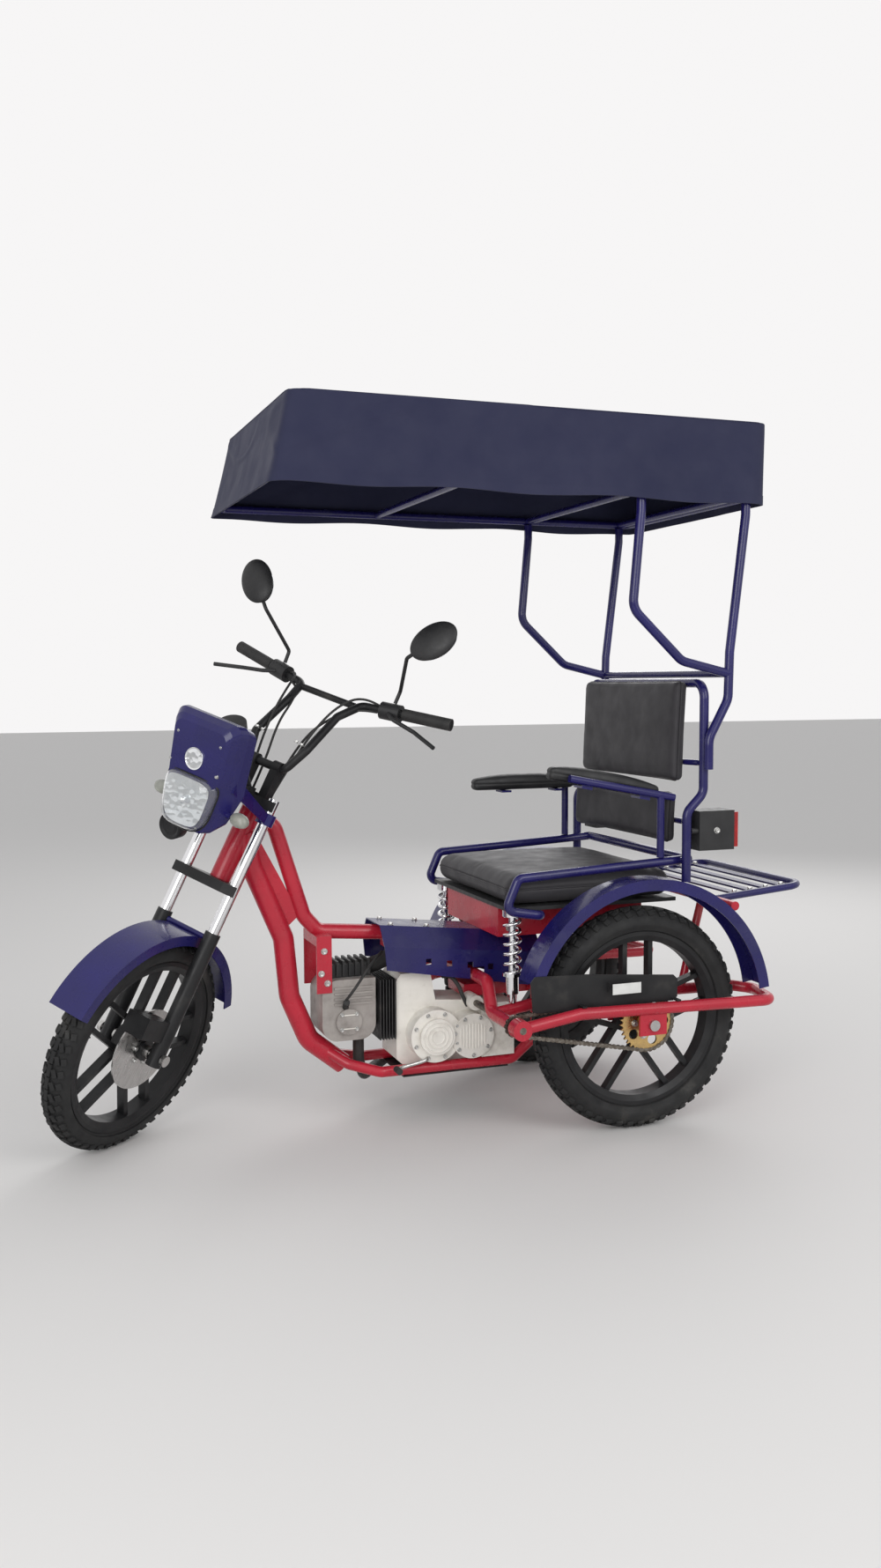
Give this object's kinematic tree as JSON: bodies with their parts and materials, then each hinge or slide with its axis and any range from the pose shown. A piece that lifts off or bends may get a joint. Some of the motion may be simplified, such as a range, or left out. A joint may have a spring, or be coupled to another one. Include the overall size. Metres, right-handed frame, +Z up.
{
  "type": "motorised three-wheeler with a canopy",
  "caption": "One-seat motorised three-wheeler with a steered front wheel, an open engine in a tubular frame, a padded seat with armrests, a luggage rack and a cloth canopy on posts.",
  "frame": {"origin": "on the floor below the middle of the vehicle's outline, on its centre line", "axes": "+X forward, +Y to the rider's left, +Z up"},
  "size_m": [2.0417, 0.856, 1.824],
  "materials": {
    "red_paint": "gloss enamel on welded steel tube",
    "blue_paint": "gloss deep blue enamel",
    "black_paint": "satin black enamel",
    "black_plastic": "moulded black plastic",
    "tyre": "black treaded tyre",
    "rubber": "ribbed black rubber",
    "vinyl": "dark grey padded vinyl",
    "canopy_cloth": "dark navy coated cloth, taut",
    "steel": "bare machined steel",
    "chrome": "hard chrome",
    "gold_steel": "gold-coloured plated steel",
    "engine_alloy": "cast and painted light alloy",
    "engine_black": "black finned casting",
    "lens_clear": "clear moulded lens",
    "lens_red": "red lens",
    "lens_amber": "amber lens in a black case"
  },
  "bodies": {
    "chassis": {"main_frame": "red_paint", "rear_frame": "red_paint", "seat_support": "red_paint", "seat_board": "black_plastic", "seat_springs": "chrome", "spine_cover": "blue_paint", "seat_frame": "blue_paint", "backrest_frame": "blue_paint", "armrest_frames": "blue_paint", "canopy_posts": "blue_paint", "rear_mudguards": "blue_paint", "canopy_frame": "blue_paint", "luggage_rack": "blue_paint", "chain_guard": "black_paint", "skid_plate": "black_paint", "rear_axles": "steel", "jackshaft": "steel", "drive_chain": "steel", "seat_cushion": "vinyl", "backrest_pad_lower": "vinyl", "backrest_pad_upper": "vinyl", "armrest_pads": "vinyl", "canopy_cover": "canopy_cloth", "tail_lamps": "black_plastic", "tail_lenses": "lens_red", "crankcase": "engine_alloy", "cylinder": "engine_black", "cylinder_head": "engine_alloy", "carburettor": "engine_black", "exhaust": "black_paint"},
    "steering": {"steering_yokes": "black_paint", "fork_stanchions": "chrome", "fork_lowers": "black_paint", "front_axle": "steel", "handlebar": "black_paint", "grips": "rubber", "controls": "black_plastic", "mirrors": "black_plastic", "headlight_cowl": "blue_paint", "headlight_lens": "lens_clear", "indicators": "lens_amber", "instrument": "black_plastic", "front_mudguard": "blue_paint", "brake_caliper": "black_paint"},
    "front_wheel_set": {"front_tyre": "tyre", "front_wheel": "black_paint", "front_brake_disc": "steel"},
    "left_rear_wheel_set": {"left_rear_tyre": "tyre", "left_rear_wheel": "black_paint", "rear_sprocket": "gold_steel"},
    "right_rear_wheel_set": {"right_rear_tyre": "tyre", "right_rear_wheel": "black_paint"}
  },
  "joints": [
    {"name": "steering_turn", "type": "hinge", "parent": "chassis", "child": "steering", "pos_m": [0.76341, 0, 0.25465], "axis": [-0.4384, 0, 0.8988], "range_deg": [-86, 0]},
    {"name": "front_wheel_spin", "type": "hinge", "parent": "steering", "child": "front_wheel_set", "pos_m": [0.79233, 0.03001, 0.26876], "axis": [-0.613, 0.7314, -0.299], "continuous": true},
    {"name": "left_rear_wheel_spin", "type": "hinge", "parent": "chassis", "child": "left_rear_wheel_set", "pos_m": [-0.455, 0.318, 0.29], "axis": [0, 1, 0], "continuous": true},
    {"name": "right_rear_wheel_spin", "type": "hinge", "parent": "chassis", "child": "right_rear_wheel_set", "pos_m": [-0.455, -0.318, 0.29], "axis": [0, 1, 0], "continuous": true}
  ]
}
